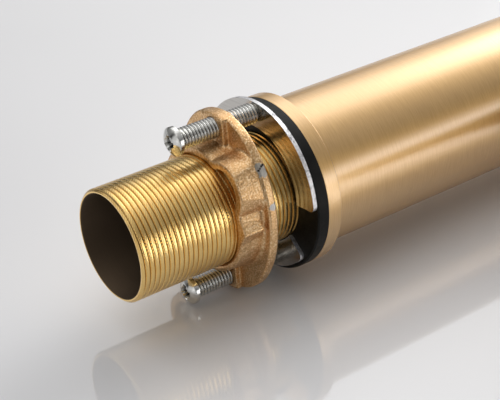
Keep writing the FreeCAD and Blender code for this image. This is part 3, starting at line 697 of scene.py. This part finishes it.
def threaded_wall(shape, radius, thread, low, high, steps, limit, centre=(0.0, 0.0)):
    """The wall of a right-hand thread between two heights.

    limit(z) is the largest radius allowed at a height, which makes the chamfers. The wall's rows
    climb with the thread, and each point stores how deep it lies as its groove value.
    """
    columns, rows_in_pitch = thread_columns(
        shape, radius, thread, low, high, steps, limit, centre
    )
    total = len(columns[0])
    for step in range(steps):
        here = columns[step]
        after = columns[(step + 1) % steps]
        shift = rows_in_pitch if step == steps - 1 else 0
        for row in range(total - 1 - shift):
            corners = (here[row], after[row + shift], after[row + shift + 1], here[row + 1])
            heights = [corner.co.z for corner in corners]
            if max(heights) - min(heights) > FLAT_FACE:
                shape.faces.new(corners)


# The shank

def make_shank():
    """The shank with its thread, bore and collar."""
    low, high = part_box("shank")
    tip = low.z
    collar = high.x
    shape = bmesh.new()

    def limit(z):
        return min(SHANK_RADIUS, SHANK_RADIUS - SHANK_TIP_CHAMFER + (z - tip))

    threaded_wall(shape, SHANK_RADIUS, SHANK_THREAD, tip, 0.0, SHANK_THREAD_STEPS, limit)
    weld(shape)
    outline = [
        (SHANK_RADIUS - SHANK_TIP_CHAMFER, tip),
        (SHANK_BORE_RADIUS + SHANK_BORE_CHAMFER, tip),
        (SHANK_BORE_RADIUS, tip + SHANK_BORE_CHAMFER),
        (SHANK_BORE_RADIUS, high.z),
        (collar, high.z),
        (collar, 0.0),
        (SHANK_RADIUS - SHANK_COLLAR_OVERLAP, 0.0),
    ]
    lathe(shape, outline, SHANK_BORE_STEPS)
    mesh = finished(shape, "shank_thread", THREAD_SHARP)
    new_piece("shank_thread", mesh, "tap_body", "machined_brass", ["shank"])


# The jack screws

def recess_cutter(centre, low):
    """The tapered cross with a cone in its middle that a screwdriver's point leaves room for."""
    shape = bmesh.new()
    start = low - RECESS_ABOVE
    floor = low + RECESS_DEPTH
    for turn in (0.0, math.pi / 2):
        ends = []
        for z, scale in ((start, 1.0), (floor, RECESS_TAPER)):
            ring = []
            for end, side in ((-1, -1), (1, -1), (1, 1), (-1, 1)):
                along = end * RECESS_REACH * scale
                across = side * RECESS_WIDTH / 2 * scale
                x = along * math.cos(turn) - across * math.sin(turn)
                y = along * math.sin(turn) + across * math.cos(turn)
                ring.append(shape.verts.new((centre[0] + x, centre[1] + y, z)))
            ends.append(ring)
        join_rings(shape, ends[0], ends[1])
        shape.faces.new(ends[0])
        shape.faces.new(list(reversed(ends[1])))
    cone_outline = [(RECESS_CONE, start), (RECESS_CONE * RECESS_TAPER, floor)]
    cone = lathe(shape, cone_outline, RECESS_CONE_STEPS, centre)
    shape.faces.new(cone[0])
    shape.faces.new(list(reversed(cone[1])))
    return shape


def head_dome(low):
    """The outline of a pan head's shallow dome, from its middle out."""
    edge = HEAD_RADIUS - HEAD_SHOULDER * (1 - math.sin(HEAD_SLOPE))
    dome_radius = edge / math.sin(HEAD_SLOPE)
    outline = []
    for step in range(HEAD_DOME_STEPS + 1):
        turn = HEAD_SLOPE * step / HEAD_DOME_STEPS
        reach = max(dome_radius * math.sin(turn), POLE_RADIUS)
        outline.append((reach, low + dome_radius * (1 - math.cos(turn))))
    return outline


def head_outline(low, seat):
    """Half the outline of a pan head: a shallow dome, a rounded shoulder and a straight side."""
    outline = head_dome(low)
    shoulder_z = outline[-1][1] + HEAD_SHOULDER * math.cos(HEAD_SLOPE)
    for step in range(1, HEAD_SHOULDER_STEPS + 1):
        turn = HEAD_SLOPE + (math.pi / 2 - HEAD_SLOPE) * step / HEAD_SHOULDER_STEPS
        reach = HEAD_RADIUS - HEAD_SHOULDER + HEAD_SHOULDER * math.sin(turn)
        outline.append((reach, shoulder_z - HEAD_SHOULDER * math.cos(turn)))
    outline.append((HEAD_RADIUS, seat - HEAD_SEAT_CHAMFER))
    outline.append((HEAD_RADIUS - HEAD_SEAT_CHAMFER, seat))
    outline.append((POLE_RADIUS, seat))
    return outline


def shade_recess(mesh, centre, low, seat):
    """Marks the points inside a head's recess as deep, where the zinc is painted with shade."""
    dome = head_dome(low)
    groove = mesh.attributes.new("groove", "FLOAT", "POINT")
    for index, vertex in enumerate(mesh.vertices):
        away = math.hypot(vertex.co.x - centre[0], vertex.co.y - centre[1])
        surface = next((z for reach, z in dome if reach >= away), seat)
        deep = surface + RECESS_GROOVE_START < vertex.co.z < seat - RECESS_GROOVE_STOP
        if deep and away < RECESS_REACH:
            groove.data[index].value = RECESS_GROOVE


def make_screw_thread(node, body, centre, seat, point):
    """A jack screw's rolled thread, from inside its head to its chamfered point."""
    shape = bmesh.new()

    def limit(z):
        return min(SCREW_RADIUS, SCREW_RADIUS - SCREW_POINT_CHAMFER + (point - z))

    start = seat - THREAD_SUNK_IN_HEAD
    threaded_wall(shape, SCREW_RADIUS, SCREW_THREAD, start, point, SCREW_STEPS, limit, centre)
    weld(shape)
    close_ends(shape)
    mesh = finished(shape, node + "_thread", THREAD_SHARP)
    new_piece(node + "_thread", mesh, body, "screw_zinc", [node])


def make_screw_head(node, body, centre, low, seat):
    """A jack screw's pan head, with its cross recess and softened edges."""
    shape = bmesh.new()
    lathe(shape, head_outline(low, seat), SCREW_STEPS, centre)
    weld(shape, POLE_WELD_DISTANCE)
    mesh = finished(shape, node + "_head", HEAD_SHARP)
    head = new_piece(node + "_head", mesh, body, "screw_zinc", [node])
    carve(head, recess_cutter(centre, low))
    shade_recess(head.data, centre, low, seat)
    smooth_faces(head.data, HEAD_SHARP)
    soften = head.modifiers.new("soften", "BEVEL")
    soften.width = HEAD_EDGE_BREAK
    soften.segments = 2
    soften.limit_method = "ANGLE"
    soften.angle_limit = math.radians(HEAD_SHARP)
    apply_modifiers(head)


def make_jack_screw(side):
    """A jack screw, in the place of its CAD node."""
    node = "jack_screw_" + side
    body = "screw_" + side
    low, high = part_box(node)
    centre = ((low.x + high.x) / 2, (low.y + high.y) / 2)
    seat = low.z + HEAD_HEIGHT
    make_screw_thread(node, body, centre, seat, high.z)
    make_screw_head(node, body, centre, low.z, seat)


# The mounting nut

def melt_lobes(piece):
    """Runs each lobe of the casting softly into the hub, on the side of it away from the lug."""
    group = piece.vertex_groups.new(name="lobes")
    for vertex in piece.data.vertices:
        turn = math.degrees(math.atan2(vertex.co.y, vertex.co.x))
        away = min(abs((turn - middle + 180.0) % 360.0 - 180.0) for middle in LOBE_MELT_ANGLES)
        beside = min(1.0, max(0.0, (LOBE_MELT_REACH - away) / LOBE_MELT_ANGLE_FADE))
        below = min(1.0, max(0.0, (LOBE_MELT_TOP - vertex.co.z) / LOBE_MELT_TOP_FADE))
        if beside * below > 0.0:
            group.add([vertex.index], beside * below, "REPLACE")
    smooth = piece.modifiers.new("melt", "SMOOTH")
    smooth.factor = SMOOTHING
    smooth.iterations = LOBE_MELT_ROUNDS
    smooth.vertex_group = group.name
    apply_modifiers(piece)


def make_nut():
    """The cast nut: the plain solid remeshed and smoothed, so that its edges are a casting's."""
    mesh = NODES["mounting_nut"].data.copy()
    piece = new_piece("cast_nut", mesh, "nut", "cast_bronze", ["mounting_nut"])
    remesh = piece.modifiers.new("remesh", "REMESH")
    remesh.mode = "VOXEL"
    remesh.voxel_size = CASTING_VOXEL
    smooth = piece.modifiers.new("smooth", "SMOOTH")
    smooth.factor = SMOOTHING
    smooth.iterations = CASTING_ROUNDS
    apply_modifiers(piece)
    melt_lobes(piece)
    piece.data.shade_smooth()


# The CAD nodes that carry over

def dress_nodes():
    """Gives every CAD node the material that the record names for it."""
    slots = {part["node"]: part["material_slot"] for part in frame["record"]["subparts"]}
    for name, node in NODES.items():
        look = "brushed_gold_lengthwise" if name in GOLD_ALONG_Y else slots[name]
        for place in node.material_slots:
            place.material = MATERIALS[look]
        if not node.material_slots:
            node.data.materials.append(MATERIALS[look])


# Floor, light and camera

def over_floor(up, across, along):
    """A vector over the floor, from its parts up from it, across the tap and along the tap."""
    return FLOOR_NORMAL * up + FLOOR_SIDE * across + ALONG_TAP * along


def make_floor():
    """The pale floor that the tap lies on."""
    half = FLOOR_SIZE / 2
    shape = bmesh.new()
    corners = []
    for across, along in ((-half, -half), (-half, half), (half, half), (half, -half)):
        corners.append(shape.verts.new(over_floor(-FLOOR_DISTANCE, across, along)))
    shape.faces.new(corners)
    mesh = bpy.data.meshes.new("floor")
    shape.to_mesh(mesh)
    shape.free()
    if mesh.polygons[0].normal.dot(FLOOR_NORMAL) < 0:
        mesh.flip_normals()
    mesh.materials.append(floor_material())
    floor = bpy.data.objects.new("floor", mesh)
    bpy.context.scene.collection.objects.link(floor)


class Sky:
    """The world's shader being built. Its values depend on the direction that a ray takes."""

    def __init__(self, world):
        self.tree = world.node_tree
        self.direction = self.tree.nodes.new("ShaderNodeTexCoord").outputs["Generated"]
        self.rays = self.tree.nodes.new("ShaderNodeLightPath").outputs

    def join(self, start, end):
        """Links an output socket to an input socket."""
        self.tree.links.new(start, end)

    def combined(self, operation, first, second):
        """The result of an operation on two values."""
        node = self.tree.nodes.new("ShaderNodeMath")
        node.operation = operation
        self.join(first, node.inputs[0])
        self.join(second, node.inputs[1])
        return node.outputs["Value"]

    def ramp(self, heading, rise, values, interpolation="LINEAR"):
        """A value that changes from the first to the second towards a heading."""
        nearness = self.tree.nodes.new("ShaderNodeVectorMath")
        nearness.operation = "DOT_PRODUCT"
        self.join(self.direction, nearness.inputs[0])
        nearness.inputs[1].default_value = over_floor(*heading).normalized()
        node = self.tree.nodes.new("ShaderNodeMapRange")
        node.interpolation_type = interpolation
        self.join(nearness.outputs["Value"], node.inputs["Value"])
        node.inputs["From Min"].default_value, node.inputs["From Max"].default_value = rise
        node.inputs["To Min"].default_value, node.inputs["To Max"].default_value = values
        return node.outputs["Result"]

    def brightness(self):
        """The room, brighter overhead than near the floor, and the soft lights in it."""
        total = self.combined(
            "MULTIPLY",
            self.ramp(OVERHEAD, ROOM_RISE, (0.0, ROOM_BRIGHTNESS)),
            self.ramp(TOWARDS_HANDLE, ROOM_END_RISE, (ROOM_END_SHARE, 1.0)),
        )
        for heading, brightness, full, gone in SOFT_LIGHTS:
            rise = (math.cos(math.radians(gone)), math.cos(math.radians(full)))
            light = self.ramp(heading, rise, (0.0, brightness), "SMOOTHSTEP")
            total = self.combined("ADD", total, light)
        return total

    def backdrop_rays(self):
        """One for the camera's rays, and for mirrored or refracted ones below the horizon."""
        mirrored = self.combined(
            "MAXIMUM", self.rays["Is Glossy Ray"], self.rays["Is Transmission Ray"]
        )
        mirrored = self.combined("MULTIPLY", mirrored, self.ramp(OVERHEAD, HORIZON, (1.0, 0.0)))
        return self.combined("MAXIMUM", self.rays["Is Camera Ray"], mirrored)


def make_world():
    """The studio's light, and a pale backdrop where the camera looks past the floor."""
    world = bpy.data.worlds.new("studio")
    world.use_nodes = True
    sky = Sky(world)
    room = sky.tree.nodes["Background"]
    room.inputs["Color"].default_value = (*ROOM_COLOUR, 1.0)
    sky.join(sky.brightness(), room.inputs["Strength"])
    backdrop = sky.tree.nodes.new("ShaderNodeBackground")
    backdrop.inputs["Color"].default_value = (*BACKDROP_COLOUR, 1.0)
    choose = sky.tree.nodes.new("ShaderNodeMixShader")
    sky.join(sky.backdrop_rays(), choose.inputs["Fac"])
    sky.join(room.outputs["Background"], choose.inputs[1])
    sky.join(backdrop.outputs["Background"], choose.inputs[2])
    sky.join(choose.outputs["Shader"], sky.tree.nodes["World Output"].inputs["Surface"])
    bpy.context.scene.world = world


def make_camera():
    """The camera, where the photographer stood."""
    data = bpy.data.cameras.new("camera")
    data.lens = CAMERA_LENS
    data.sensor_width = CAMERA_SENSOR
    data.sensor_fit = "HORIZONTAL"
    data.clip_start = CAMERA_CLIP_START
    camera = bpy.data.objects.new("camera", data)
    back = -CAMERA_LOOK.normalized()
    right = (CAMERA_RIGHT - back * CAMERA_RIGHT.dot(back)).normalized()
    up = back.cross(right)
    turn = Matrix((right, up, back)).transposed()
    camera.matrix_world = Matrix.Translation(CAMERA_PLACE) @ turn.to_4x4()
    bpy.context.scene.collection.objects.link(camera)
    bpy.context.scene.camera = camera


make_shank()
for side in ("left", "right"):
    make_jack_screw(side)
make_nut()
dress_nodes()
make_floor()
make_world()
make_camera()

bpy.context.scene.view_settings.view_transform = "Standard"
